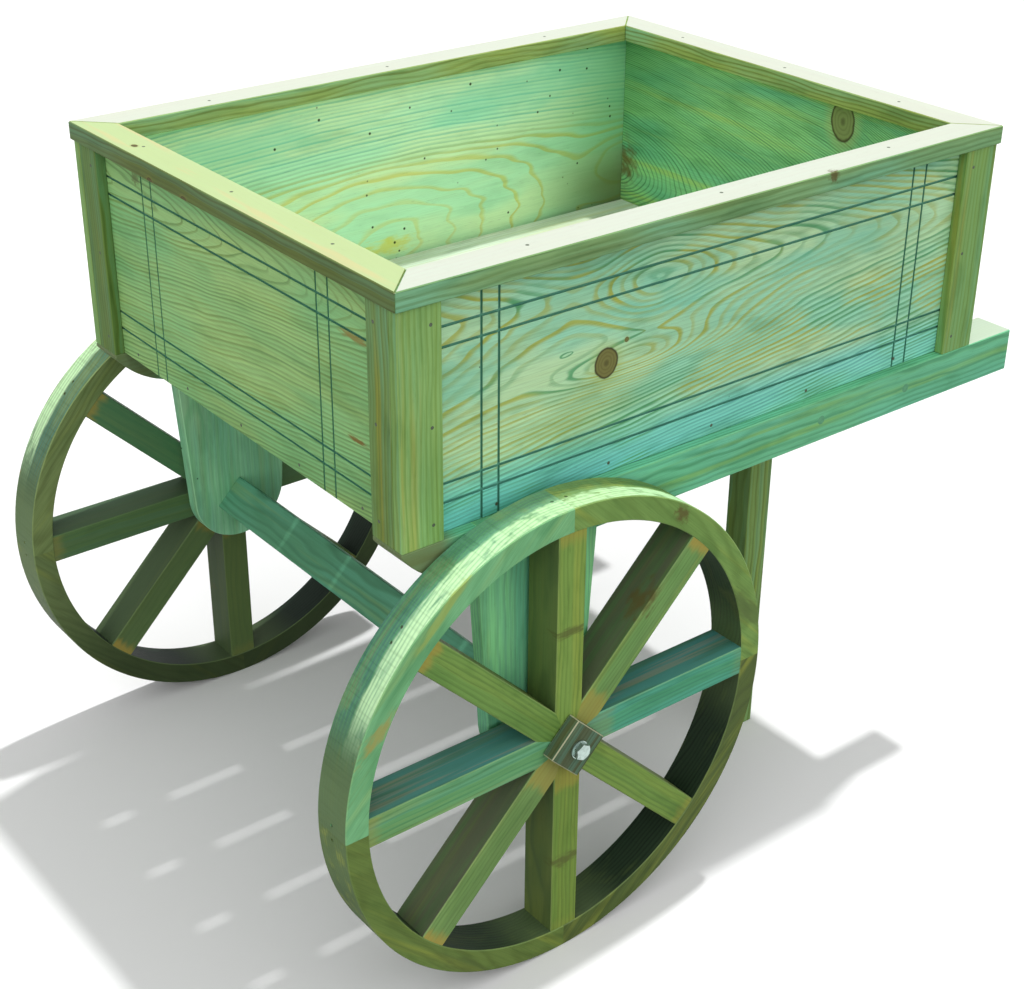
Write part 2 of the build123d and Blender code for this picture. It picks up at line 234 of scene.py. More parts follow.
class Wood(Finish):
    """Softwood: lines of late wood, stain, streaks, fibres, flecks, knots and worn edges."""

    # lengths of the features along x, y and z, in millimetres
    LONG_WAVE = (130, 60, 45)
    SHORT_WAVE = (46, 16, 14)
    FIBRE = (45, 1.1, 1.1)
    FLECK = (16, 0.7, 0.7)
    STAIN_PATCH = (260, 60, 60)
    STREAK = (420, 14, 14)
    SOAKED_PATCH = (170, 50, 50)
    SECOND_PATCH = (120, 50, 50)
    MOTTLE = (70, 20, 20)
    RAGGED_BARK = (12, 12, 12)

    # where in a year its late wood starts, is darkest and begins to fade
    LATE_START = 0.3
    LATE_FULL = 0.72
    LATE_FADE = 0.74

    # the least and the most of a year that a line of a figure takes up
    LEAST_LINE = 0.02
    MOST_LINE = 0.75
    # where such a line starts and is full on each side, in widths back from the end of the year
    LINE_EARLY_SIDE = (1.0, 0.4)
    LINE_LATE_SIDE = (0.0, 0.2)

    # strength of the faintest year, where the strongest has 1
    FAINT_LINE = 0.5
    FAINT_FIGURE = 0.4
    # added to the number of a year to draw another random value for it
    SECOND_DRAW = 0.5

    # most that each layer of the grain shows, and which part of the fibres is dark
    EARLY_SHARE = 0.16
    SOAKED_SHARE = 0.3
    MOTTLE_SHARE = 0.3
    FIBRE_SHARE = 0.25
    FLECK_SHARE = 0.3
    DARK_FIBRE = (0.62, 0.3)

    # edge of a speck in its radii, and of the choice which specks show
    SPECK_EDGE = (1.3, 0.7)
    CHOICE_EDGE = 0.01

    # parts of a knot, in its radii: where each starts and is full, and the bark's half width and sway
    KNOT_HALO = (2.0, 1.0)
    KNOT_HEART = (1.08, 0.97)
    RINGS_WITHIN = (0.95, 0.8)
    KNOT_PITH = (0.24, 0.1)
    BARK_WIDTH = 0.14
    BARK_SWAY = 0.25
    # number of rings in a knot, and where in a ring its line starts and is full
    KNOT_RINGS = 4.0
    RING_EDGE = (0.4, 0.9)

    # a stain in its reaches: its edge, how far that sways and the length of the waves
    SMEAR_EDGE = (1.1, 0.3)
    SMEAR_SWAY = 1.8
    SMEAR_WAVE = 0.4

    # height of the bump and roughness, from fibres, flecks and late wood
    FIBRE_HEIGHT = 0.6
    FLECK_DEPTH = 0.5
    LATE_HEIGHT = 0.15
    ROUGHNESS = 0.5
    FIBRE_ROUGHNESS = 0.25
    LATE_POLISH = 0.08
    SPECULAR_LEVEL = 0.15

    def __init__(self, name, origin, grain=ALONG_X):
        super().__init__(name, origin, grain)
        self.knots = []

    def hill(self, x, z, reach_x, reach_z, lift):
        """A rise in the year layers round x and z. A flat cut through it shows loops."""
        along = (self.x - x) / reach_x
        aside = (self.z - z) / reach_z
        return (along * along + aside * aside).math("MULTIPLY", -1.0).math("EXPONENT") * lift

    def ridge(self, z, width, fall=0.0):
        """Millimetres above or below a line that starts at z and falls, rounded over this width."""
        aside = self.z + self.x * fall - z
        return (aside * aside + width * width).math("SQRT")

    def knot(self, place, radius, through=(1, 0, 1)):
        """A knot at x, y, z. It runs right through the piece where its share in through is 0."""
        rows = zip((self.x, self.y, self.z), place, through)
        offsets = [(axis - centre) * share for axis, centre, share in rows if share]
        self.knots.append((length_of(*offsets), radius))

    def round_pith(self, spacing, pith, tilt=0.0):
        """Years counted outwards from a pith at y and z, which the piece crosses at a tilt."""
        deep = self.x * tilt + self.y - pith[0]
        high = self.z - pith[1]
        return length_of(deep, high) / spacing

    def split(self, years, drift, ripple):
        """Bends the years in long and short waves, then gives how much of its year has passed at a
        point, and the number of that year."""
        years = years + self.sway(self.LONG_WAVE, 2 * drift, detail=0.0)
        years = years + self.sway(self.SHORT_WAVE, 2 * ripple, detail=0.0)
        number = years.math("FLOOR")
        self.early = self.chance(number + self.SECOND_DRAW)
        return years.math("FRACT"), number

    def strength(self, number, faintest):
        """A random strength for the late wood of each year, from the faintest to 1."""
        return self.chance(number) * (1 - faintest) + faintest

    def lines(self, years, drift, ripple):
        """Late wood of each year. It darkens slowly and fades faster."""
        phase, number = self.split(years, drift, ripple)
        late = phase.rise(self.LATE_START, self.LATE_FULL) - phase.rise(self.LATE_FADE, 1.0)
        self.late = late * self.strength(number, self.FAINT_LINE)

    def slope(self, make_years):
        """The years at each point, and how fast they change in years per millimetre."""
        x, z = self.x, self.z
        years = make_years()
        self.x = x + 1.0
        along = make_years() - years
        self.x = x
        self.z = z + 1.0
        aside = make_years() - years
        self.z = z
        return years, length_of(along, aside)

    def figure(self, make_years, width, drift, ripple=0.3):
        """Late wood of a flat cut, in lines of one width however far apart they lie."""
        years, slope = self.slope(make_years)
        phase, number = self.split(years, drift, ripple)
        reach = (slope * width).math("MAXIMUM", self.LEAST_LINE).math("MINIMUM", self.MOST_LINE)
        back = (phase * -1.0 + 1.0) / reach
        late = back.rise(*self.LINE_EARLY_SIDE) * back.rise(*self.LINE_LATE_SIDE)
        self.late = late * self.strength(number, self.FAINT_FIGURE)

    def grain(self, pale, late, late_share, stain_share, streak_share,
              second=None, stain=TEAL, streak=OCHRE, soil=1.0):
        """Colours the lines, then adds stain, streaks, soaked patches, fibres and flecks."""
        self.fibre = self.noise(self.FIBRE, detail=3.0)
        self.fleck = self.patches(self.FLECK, start=0.66, full=0.76)
        patch = self.patches(self.STAIN_PATCH, start=0.4, full=0.62)
        line = self.patches(self.STREAK, start=0.5, full=0.7)
        soak = self.patches(self.SOAKED_PATCH, start=0.55, full=0.3, detail=4.0)
        self.shade = self.mix(patch * stain_share, pale, stain)
        self.tint(self.early * self.EARLY_SHARE, stain)
        self.tint(line * streak_share, streak)
        dark = late
        if second is not None:
            dark = self.mix(self.patches(self.SECOND_PATCH, start=0.48, full=0.62), late, second)
        self.tint(self.late * late_share, dark)
        mottle = self.patches(self.MOTTLE, start=0.5, full=0.7, detail=4.0)
        self.darken(soak * (self.SOAKED_SHARE * soil), SOAKED)
        self.darken(mottle * (self.MOTTLE_SHARE * soil), MOTTLED)
        self.darken(self.fibre.rise(*self.DARK_FIBRE) * (self.FIBRE_SHARE * soil), FIBROUS)
        self.darken(self.fleck * self.FLECK_SHARE, FLECKED)

    def specks(self, spacing, radius, share):
        """Small dark points, about one to each spacing, of which only a share shows."""
        node = self.tree.nodes.new("ShaderNodeTexVoronoi")
        feed(self.tree, node.inputs["Vector"], self.point)
        node.inputs["Scale"].default_value = 1 / spacing
        outer, inner = (edge * radius / spacing for edge in self.SPECK_EDGE)
        near = Field(self.tree, node.outputs["Distance"]).rise(outer, inner)
        draw = self.parts(Field(self.tree, node.outputs["Color"]))[0]
        chosen = draw.rise(share + self.CHOICE_EDGE, share)
        self.darken(near * chosen, SPECKED)

    def wear(self, edge, end, edge_share=0.4, end_share=0.4):
        """Eased edges lose colour and end grain takes more of it."""
        largest = self.face_x.math("MAXIMUM", self.face_y).math("MAXIMUM", self.face_z)
        self.tint(largest.rise(*EASED_EDGE) * edge_share, edge)
        self.darken(self.face_x.rise(*END_FACE) * end_share, end)

    def tint_top_faces(self, share, pale):
        """Tints the top faces; a pale tint there is painted sunlight."""
        self.tint(self.face_up.rise(*TOP_FACE) * share, pale)

    def knotted(self, heart=KNOT_BROWN, halo=OCHRE):
        """Paints each knot: a warm halo, rings inside and dark bark round them."""
        ragged = self.sway(self.RAGGED_BARK, self.BARK_SWAY)
        for away, radius in self.knots:
            inside = away / radius + ragged
            rings = (inside * self.KNOT_RINGS).math("FRACT").rise(*self.RING_EDGE)
            self.tint(inside.rise(*self.KNOT_HALO) * 0.3, halo)
            self.tint(inside.rise(*self.KNOT_HEART), heart)
            self.tint(rings * inside.rise(*self.RINGS_WITHIN) * 0.25, BARK)
            self.tint(inside.rise(*self.KNOT_PITH) * 0.5, BARK)
            self.tint(inside.band(1.0, self.BARK_WIDTH) * 0.9, BARK)

    def smear(self, place, reach, share, tone):
        """A ragged stain round x, y and z."""
        rows = zip((self.x, self.y, self.z), place, reach)
        offsets = [(axis - centre) / length for axis, centre, length in rows]
        ragged = self.sway([length * self.SMEAR_WAVE for length in reach], self.SMEAR_SWAY, detail=3.0)
        self.tint((length_of(*offsets) + ragged).rise(*self.SMEAR_EDGE) * share, tone)

    def done_wood(self, depth=0.25):
        height = self.fibre * self.FIBRE_HEIGHT - self.fleck * self.FLECK_DEPTH
        height = height + self.late * self.LATE_HEIGHT
        roughness = self.fibre * self.FIBRE_ROUGHNESS + self.ROUGHNESS - self.late * self.LATE_POLISH
        self.shader.inputs["Specular IOR Level"].default_value = self.SPECULAR_LEVEL
        return self.done(height, roughness, depth)


def paint(name, material):
    """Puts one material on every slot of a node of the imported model."""
    for slot in nodes[name].material_slots:
        slot.material = material


def middle(name):
    """The middle of a node's box."""
    low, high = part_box(name)
    return (low + high) / 2


# box panels, with x along the grain and z up from the lower edge

PANEL_BUMP = 0.2
GROOVE_DEPTH = 2.5
GROOVE_GREEN = colour(84, 150, 130)
# depths below a panel's outer face where the grooves' colour starts and ends
GROOVE_TOP = (0.3, 0.9)
GROOVE_BOTTOM = (GROOVE_DEPTH + 1.2, GROOVE_DEPTH + 0.6)

NEAR_WET_LATE = colour(108, 192, 180)
NEAR_TEAL = colour(116, 214, 190)
# middle and reach of the teal patches on the near panel
NEAR_TEAL_PATCHES = (
    ((330, 6, 174), (90, 80, 30)),
    ((560, 6, 168), (130, 80, 26)),
    ((60, 6, 150), (70, 80, 30)),
)

FAR_PALE = colour(226, 255, 200)
FAR_STAIN = colour(186, 255, 216)
FAR_LOOP_LATE = colour(222, 216, 92)
FAR_LEVEL_LATE = colour(140, 216, 184)
FAR_YELLOW = colour(226, 226, 100)
FAR_TEAL = colour(122, 216, 180)
FAR_CORNER = colour(104, 108, 56)

FRONT_PALE = colour(196, 238, 154)
FRONT_LATE = colour(120, 168, 96)
FRONT_SECOND_LATE = colour(136, 170, 84)
FRONT_STAIN = colour(142, 222, 156)
FRONT_FOOT = colour(200, 210, 196)
RESIN_BROWN = colour(140, 114, 52)
RESIN_PALE = colour(164, 140, 70)

REAR_PALE = colour(160, 222, 146)
REAR_LATE = colour(74, 138, 88)
REAR_STAIN = colour(108, 194, 156)
REAR_STREAK = colour(190, 212, 104)
REAR_KNOT_HEART = colour(132, 146, 88)
REAR_KNOT_HALO = colour(196, 190, 104)
REAR_CORNER_KNOT = colour(112, 98, 56)
REAR_DAMP = colour(150, 190, 180)


def groove(wood, surface, inward):
    """Darkens what lies just below the panel's outer face, down to the bottom of the grooves."""
    below = (wood.y - surface) * inward
    inside = below.rise(*GROOVE_TOP) * below.rise(*GROOVE_BOTTOM)
    wood.tint(inside * 0.9, GROOVE_GREEN)


def panel_near():
    """Loops round a knot under a long ridge, with straight grain along the bottom."""
    low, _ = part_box("panel_near")
    wood = Wood("panel_near", low)
    wood.knot((238, 0, 120), radius=14, through=(1, 0, 0.94))
    wood.knot((263, 0, 138), radius=2.6)
    year_width = 6.4
    taper = 0.028
    foot_top = 60.0
    foot_crowding = 0.001
    saddle_foot = 95.0
    saddle_height = 90.0
    saddle_depth = 6.5

    def years():
        foot = (wood.z * -1.0 + foot_top).math("MAXIMUM", 0.0)
        ridge = wood.ridge(z=208, width=14, fall=0.05) / -year_width
        ridge = ridge - wood.x * taper - foot * foot * foot_crowding
        height = ((wood.z - saddle_foot) / saddle_height).math("MAXIMUM", 0.0).math("MINIMUM", 1.0)
        saddle = wood.x.rise(310, 180) * height * -saddle_depth
        saddle = saddle + wood.hill(x=0, z=150, reach_x=110, reach_z=60, lift=1.8)
        whorl = wood.hill(x=314, z=188, reach_x=60, reach_z=34, lift=1.7)
        lens = wood.hill(x=306, z=112, reach_x=125, reach_z=26, lift=5.0)
        eye = wood.hill(x=246, z=118, reach_x=78, reach_z=15, lift=3.6)
        return ridge + saddle + whorl + lens + eye

    wood.figure(years, width=8.0, drift=0.6)
    damp = wood.z.rise(68, 28)
    corner = wood.z.rise(46, 4) * wood.x.rise(560, 60)
    pale = wood.mix(corner * 0.75, wood.mix(damp * 0.85, MINT, WET_TEAL), BLUE)
    late = wood.mix(damp, OCHRE, NEAR_WET_LATE)
    wood.grain(pale, late, late_share=1.0, second=DEEP_GREEN, stain_share=0.5, streak_share=0.1)
    for place, reach in NEAR_TEAL_PATCHES:
        wood.smear(place, reach, share=0.4, tone=NEAR_TEAL)
    wood.knotted()
    wood.specks(spacing=40, radius=1.2, share=0.5)
    groove(wood, surface=0, inward=1)
    return wood.done_wood(PANEL_BUMP)


def panel_far():
    """Fine level grain over one broad flat hill."""
    low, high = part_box("panel_far")
    wood = Wood("panel_far", low)
    level_foot = 135.0
    level_softness = 300.0
    level_crowding = 0.085
    loop_x = 379.0
    loop_z = 42.0
    loop_stretch = 2.1
    loop_spacing = 24.0

    def years():
        above = wood.z - level_foot
        level = ((above * above + level_softness).math("SQRT") + above) * -level_crowding
        loops = length_of((wood.x - loop_x) / loop_stretch, wood.z - loop_z) / -loop_spacing
        return level + loops + wood.hill(x=775, z=75, reach_x=70, reach_z=50, lift=4.0)

    wood.figure(years, width=7.5, drift=0.3, ripple=0.25)
    late = wood.mix(wood.z.rise(120, 165), FAR_LOOP_LATE, FAR_LEVEL_LATE)
    wood.grain(FAR_PALE, late, late_share=0.9, stain=FAR_STAIN, stain_share=0.6, streak_share=0.06, soil=0.5)
    wood.smear((loop_x, 6, 36), reach=(46, 80, 14), share=0.75, tone=FAR_YELLOW)
    for along in (180, 560):
        wood.smear((along, 6, 196), reach=(150, 80, 36), share=0.4, tone=FAR_TEAL)
    rear_painted_shade = wood.x.rise(540, 770)
    rear_corner = wood.x.rise(590, 750) * wood.z.rise(120, 40)
    # painted shade: the panel darker and greener towards its rear end
    wood.tint(rear_painted_shade * 0.7, DEEP_GREEN)
    wood.tint(rear_corner * 0.75, FAR_CORNER)
    wood.specks(spacing=20, radius=1.7, share=0.8)
    groove(wood, surface=(high.y - low.y) * MILLIMETRES, inward=-1)
    return wood.done_wood(PANEL_BUMP)


def panel_front():
    """Soft tongues above and fine level grain below."""
    low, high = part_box("panel_front")
    wood = Wood("panel_front", (high.x, low.y, low.z), ALONG_Y)
    year_width = 4.6
    taper = 0.026

    def years():
        ridge = wood.ridge(z=206, width=24) / -year_width + wood.x * taper
        tongues = wood.hill(x=402, z=200, reach_x=110, reach_z=40, lift=2.4)
        tongues = tongues + wood.hill(x=180, z=205, reach_x=90, reach_z=40, lift=2.0)
        return ridge + tongues + wood.hill(x=242, z=120, reach_x=110, reach_z=40, lift=-1.6)

    wood.figure(years, width=4.0, drift=0.7, ripple=0.35)
    wood.grain(FRONT_PALE, FRONT_LATE, late_share=0.8, second=FRONT_SECOND_LATE, stain=FRONT_STAIN,
               stain_share=0.6, streak_share=0.12, soil=0.8)
    foot = wood.z.rise(60, 10)
    wood.darken(foot * 0.3, FRONT_FOOT)
    wood.smear((62, 12, 79), reach=(22, 20, 3.4), share=0.95, tone=RESIN_BROWN)
    wood.smear((62, 12, 183), reach=(28, 20, 5), share=0.8, tone=RESIN_PALE)
    wood.smear((470, 12, 222), reach=(10, 20, 8), share=0.6, tone=KNOT_DARK)
    wood.specks(spacing=60, radius=1.0, share=0.4)
    groove(wood, surface=(high.x - low.x) * MILLIMETRES, inward=-1)
    return wood.done_wood(PANEL_BUMP)


def panel_rear():
    """Grain that falls to one side and wraps a knot in the corner."""
    low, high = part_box("panel_rear")
    wood = Wood("panel_rear", (high.x, low.y, low.z), ALONG_Y)
    wood.knot((177, 0, 218), radius=19, through=(1.1, 0, 0.85))
    ring_x = 565.0
    ring_z = 60.0
    flat_share = 0.25
    turn_length = 80.0
    turn_rise = 40.0
    years_per_millimetre = 0.18
    crowding = 0.0008

    def years():
        away = wood.x * -1.0 + ring_x
        turn = (away / -turn_length).math("EXPONENT") * -1.0 + 1.0
        distance = length_of(away * flat_share + turn * turn_rise, wood.z - ring_z)
        rings = distance * (distance * crowding + years_per_millimetre)
        return rings + wood.hill(x=177, z=218, reach_x=48, reach_z=34, lift=-3.0)

    wood.figure(years, width=3.2, drift=0.9, ripple=0.4)
    wood.grain(REAR_PALE, REAR_LATE, late_share=0.85, stain=REAR_STAIN, stain_share=0.75,
               streak=REAR_STREAK, streak_share=0.5)
    wood.knotted(REAR_KNOT_HEART, REAR_KNOT_HALO)
    wood.smear((552, 0, 74), reach=(30, 30, 34), share=0.85, tone=REAR_CORNER_KNOT)
    damp = wood.x.rise(360, 550) * wood.z.rise(80, 220)
    wood.darken(damp * 0.6, REAR_DAMP)
    groove(wood, surface=0, inward=1)
    return wood.done_wood(PANEL_BUMP)


# posts, rim and chassis, each with the colours of its pale and its late wood

POST_TONES = {
    "side": (colour(158, 196, 108), colour(132, 168, 84)),
    "end": (colour(138, 166, 84), colour(114, 138, 64)),
}
POST_STREAK = colour(190, 178, 70)
POST_SHADE = colour(206, 214, 196)
POST_SHADES = {"post_side_rear_near": 0.6, "post_end_front_far": 0.8}

RIM_NEAR_TONES = (colour(144, 184, 122), colour(98, 134, 76))
RIM_INNER_TONES = (colour(164, 180, 92), colour(116, 130, 58))
RIM_FRONT_TONES = (colour(116, 130, 62), colour(86, 98, 44))
RIM_STREAK = colour(120, 128, 62)
# pale tones painted on the rim boards' top faces: painted sunlight
RIM_TOP = colour(214, 218, 205)
RIM_TOP_FRONT = colour(196, 216, 158)
RIM_FLUSH = colour(222, 190, 140)
RIM_FLUSH_PATCH = (150, 14, 14)
RIM_KNOT_HALO = colour(164, 150, 76)
# place and radius of the small knots in the front rim board
RIM_FRONT_KNOTS = (((127, 18, -9), 4), ((57, 20, -10), 4), ((186, 4, 10), 3))

FLOOR_TONES = (colour(232, 236, 220), colour(208, 214, 186))

RAIL_TONES = (colour(124, 206, 154), colour(86, 162, 118))
RAIL_STREAK = colour(150, 196, 96)
# painted sunlight on top of the rail's stub, and where along the rail it starts and is full
RAIL_STUB = colour(206, 216, 196)
RAIL_STUB_EDGE = (330, 346)
RAIL_NOSE = colour(126, 122, 76)
RAIL_NOSE_EDGE = (70, 40)

# the far bracket's paler tones and stain, and its smaller share of blue, are painted light
BRACKET_TONES = {
    "near": (colour(154, 236, 164), colour(122, 196, 150)),
    "far": (colour(196, 255, 200), colour(154, 232, 170)),
}
BRACKET_STREAK = colour(166, 206, 120)
BRACKET_STAINS = {"near": colour(88, 182, 172), "far": colour(120, 220, 184)}
BRACKET_BLUE = colour(84, 164, 160)
BRACKET_BLUE_SHARES = {"near": 0.45, "far": 0.1}
BRACKET_BLUE_EDGE = (20, -140)

LEG_TONES = (colour(134, 160, 70), colour(104, 126, 54))
AXLE_TONES = (colour(106, 170, 130), colour(74, 128, 100))
BEARER_TONES = (colour(120, 170, 104), colour(90, 136, 78))

PITH_TILT = 0.02


def timber(name, grain, tones, spacing=5.0, drift=0.9, stain=TEAL, stain_share=0.3, streak=OCHRE,
           streak_share=0.4, turned=False):
    """Plain sawn timber with its pith outside one face, or outside the next face where it is turned."""
    pale, late = tones
    wood = Wood(name, middle(name), grain)
    pith = (wood.random.uniform(20, 60), wood.random.choice((-1, 1)) * wood.random.uniform(40, 90))
    if turned:
        pith = pith[::-1]
    tilt = wood.random.uniform(-PITH_TILT, PITH_TILT)
    wood.lines(wood.round_pith(spacing, pith, tilt), drift, ripple=0.35)
    wood.grain(pale, late, late_share=0.8, stain=stain, stain_share=stain_share, streak=streak,
               streak_share=streak_share)
    wood.wear(pale, END_GRAIN)
    return wood


def post(name, kind):
    """A corner batten. Two of the eight are darker."""
    wood = timber(name, ALONG_Z, POST_TONES[kind], spacing=4.6, stain_share=0.12, streak=POST_STREAK,
                  streak_share=0.6, turned=kind == "end")
    if name in POST_SHADES:
        wood.darken(POST_SHADES[name], POST_SHADE)
    return wood.done_wood()


def rim_front():
    """Top painted paler as painted sunlight, less than on the other rim boards, with a warm flush and three
    small knots.
    """
    wood = timber("rim_front", ALONG_Y, RIM_FRONT_TONES, stain_share=0.1, streak_share=0.2)
    # painted sunlight on the top face
    wood.tint_top_faces(0.86, RIM_TOP_FRONT)
    flush = wood.patches(RIM_FLUSH_PATCH, start=0.5, full=0.66)
    wood.tint_top_faces(flush * 0.35, RIM_FLUSH)
    for place, radius in RIM_FRONT_KNOTS:
        wood.knot(place, radius, through=(0.7, 1, 1))
    wood.knotted(KNOT_DARK, RIM_KNOT_HALO)
    return wood.done_wood()


def rim_board(name, grain):
    """Top painted pale as painted sunlight, with one dark knot in the near board."""
    tones = RIM_NEAR_TONES if name == "rim_near" else RIM_INNER_TONES
    wood = timber(name, grain, tones, streak=RIM_STREAK, streak_share=0.5)
    # painted sunlight on the top faces
    wood.tint_top_faces(0.9, RIM_TOP)
    if name == "rim_near":
        wood.smear((136, -20, 6), reach=(9, 9, 8), share=0.9, tone=KNOT_DARK)
    return wood.done_wood()


def rail(side):
    """Top of the stub behind the box painted pale as painted sunlight, and brown at the nose."""
    wood = timber(f"rail_{side}", ALONG_X, RAIL_TONES, spacing=4.2, drift=0.4, streak=RAIL_STREAK,
                  streak_share=0.6)
    # painted sunlight on top of the stub
    wood.tint_top_faces(wood.x.rise(*RAIL_STUB_EDGE) * 0.85, RAIL_STUB)
    low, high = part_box(f"rail_{side}")
    half_length = (high.x - low.x) * MILLIMETRES / 2
    nose_start, nose_full = (half_length - edge for edge in RAIL_NOSE_EDGE)
    wood.tint((wood.x * -1.0).rise(nose_start, nose_full) * 0.75, RAIL_NOSE)
    return wood.done_wood()


def bracket(side):
    """Bluer towards its foot, with a few specks."""
    # painted light: the far bracket takes its paler tones and stain
    wood = timber(f"bracket_{side}", ALONG_Z, BRACKET_TONES[side], spacing=4.0, stain=BRACKET_STAINS[side],
                  stain_share=0.5, streak=BRACKET_STREAK, streak_share=0.5)
    wood.tint(wood.x.rise(*BRACKET_BLUE_EDGE) * BRACKET_BLUE_SHARES[side], BRACKET_BLUE)
    wood.specks(spacing=30, radius=1.3, share=0.5)
    return wood.done_wood()


def paint_box():
    for name, make in (("panel_near", panel_near), ("panel_far", panel_far),
                       ("panel_front", panel_front), ("panel_rear", panel_rear)):
        paint(name, make())
    for end in ENDS:
        for side in SIDES:
            for kind in ("side", "end"):
                name = f"post_{kind}_{end}_{side}"
                paint(name, post(name, kind))
    for name, grain in (("rim_near", ALONG_X), ("rim_far", ALONG_X), ("rim_rear", ALONG_Y)):
        paint(name, rim_board(name, grain))
    paint("rim_front", rim_front())
    floor = timber("floor_boards", ALONG_X, FLOOR_TONES, stain_share=0.1)
    paint("floor_boards", floor.done_wood())


def paint_chassis():
    for side in SIDES:
        paint(f"rail_{side}", rail(side))
        paint(f"bracket_{side}", bracket(side))
        leg = timber(f"leg_{side}", ALONG_Z, LEG_TONES, stain_share=0.1, streak_share=0.15)
        paint(f"leg_{side}", leg.done_wood())
    axle = timber("axle", ALONG_Y, AXLE_TONES, spacing=6.0)
    paint("axle", axle.done_wood())
    for place in ("front", "leg", "rear"):
        bearer = timber(f"bearer_{place}", ALONG_Y, BEARER_TONES)
        paint(f"bearer_{place}", bearer.done_wood())


# wheels, measured from the wheel's middle, with x out along a spoke, or along a felloe that lies below

RIM_INSIDE = 240.5
RIM_OUTSIDE = 266.5
# distance from a round face where its colour is full, and where it ends
SKIN_FULL = 1.0
SKIN_END = 4.0

# face, late wood and tread of each felloe; the second felloe's dark teal tread is painted shade
FELLOE_TONES = (
    (colour(134, 170, 92), colour(106, 138, 66), colour(112, 152, 92)),
    (colour(138, 206, 148), colour(108, 178, 122), colour(84, 136, 122)),
    (colour(114, 138, 70), colour(88, 106, 48), colour(94, 122, 82)),
    (colour(92, 110, 58), colour(72, 86, 42), colour(84, 100, 60)),
)
FELLOE_STREAKS = (0.45, 0.25, 0.45, 0.45)
FELLOE_EDGE = colour(176, 206, 140)
FELLOE_BUMP = 0.3
# painted shade on the inside of the rim: its tint and how it darkens
INNER_PAINTED_TINT = colour(84, 112, 98)
INNER_PAINTED_SHADE = colour(96, 116, 110)
INNER_LINES = colour(120, 130, 120)
SAW_MARK = (3, 60, 3)
SAW_SHADE = colour(140, 160, 140)

SAWN_BROWN = colour(104, 112, 84)
# painted shade on the spokes' sawn sides: a grey tint and a darkening
SPOKE_SIDE_PAINTED_GREY = colour(98, 118, 92)
SPOKE_SIDE_PAINTED_SHADE = colour(164, 174, 168)
SAWN_SHARES = {"near": 0.45, "far": 0.1}
# face, late wood and stain of each spoke
SPOKE_TONES = (
    (colour(94, 178, 134), colour(70, 146, 120), BLUE),
    (colour(134, 178, 104), colour(106, 144, 80), SAWN_BROWN),
    (colour(136, 172, 86), colour(110, 142, 64), OCHRE),
    (colour(122, 164, 86), colour(98, 134, 64), OCHRE),
    (colour(118, 176, 102), colour(84, 148, 100), BLUE),
    (colour(136, 174, 102), colour(106, 142, 78), SAWN_BROWN),
    (colour(118, 152, 70), colour(94, 122, 52), OCHRE),
    (colour(118, 158, 80), colour(94, 128, 58), OCHRE),
)
SPOKE_EDGE = colour(176, 190, 130)
SPOKE_EDGE_SHARES = {"near": 0.2, "far": 0.05}
# streaks on the sawn sides by stain: lengths, noise where they start and are full, share and colour
SAWN_STREAKS = {
    BLUE: (((200, 14, 14), 0.42, 0.6, 0.6, colour(78, 152, 148)),
           ((260, 7, 7), 0.52, 0.64, 0.5, colour(150, 150, 128))),
    SAWN_BROWN: (((220, 10, 10), 0.4, 0.6, 0.6, colour(96, 96, 78)),),
    OCHRE: (),
}
# orange at both ends of a spoke: where it starts and is full, and the share on each spoke
SPOKE_TIP = (224, 238)
SPOKE_TIPS = (0.1, 0.7, 0.4, 0.6, 0.25, 0.7, 0.1, 0.25)
SPOKE_ROOT = (64, 50)
SPOKE_ROOTS = (0.2, 0.5, 0.0, 0.0, 0.0, 0.5, 0.4, 0.0)
SPOKE_RAGGED = (30, 8, 8)
SPOKE_SWAY = 24.0

# painted shade: the far wheel is painted darker and more olive, but not on its outer face; its felloes take
# darker tones on every face
FAR_OLIVE = colour(96, 116, 78)
# tints that far spokes 1 and 4 take in place of the olive; spoke 1's paler one is painted light
FAR_SPOKES = {1: colour(134, 156, 100), 4: colour(84, 140, 108)}
FAR_SPOKE_SHADE = colour(196, 204, 190)
FAR_FELLOE = (colour(146, 166, 104), colour(112, 126, 74))
FAR_FELLOE_SHARES = (0.5, 0.2, 0.5, 0.75)
FAR_INNER_SHADE = colour(150, 160, 150)
# painted shade: where the far felloes get darker towards the ground
FAR_LOW_DARK = {3: (-190, 40), 4: (190, -40)}
FAR_LOW_DARK_SHADE = colour(124, 132, 130)

# painted sunlight: a pale strip on the tread, how far across it reaches from the hub plate, its ragged edge
# and how it is broken up
TREAD_PAINTED_SUNLIGHT = colour(212, 252, 196)
STRIP_EDGE = 30.0
STRIP_SOFTNESS = 2.0
STRIP_RAGGED = (40, 6, 6)
STRIP_SWAY = 8.0
STRIP_BREAKUP = (90, 8, 8)
# where the strip starts and is full along a felloe
STRIP_ENDS = {1: (-60, 40), 2: (150, 60)}
# painted shade: green end of the tread, where it starts and is full
TREAD_ENDS = {2: (70, 140)}
TREAD_END_PAINTED_SHADE = colour(92, 116, 76)

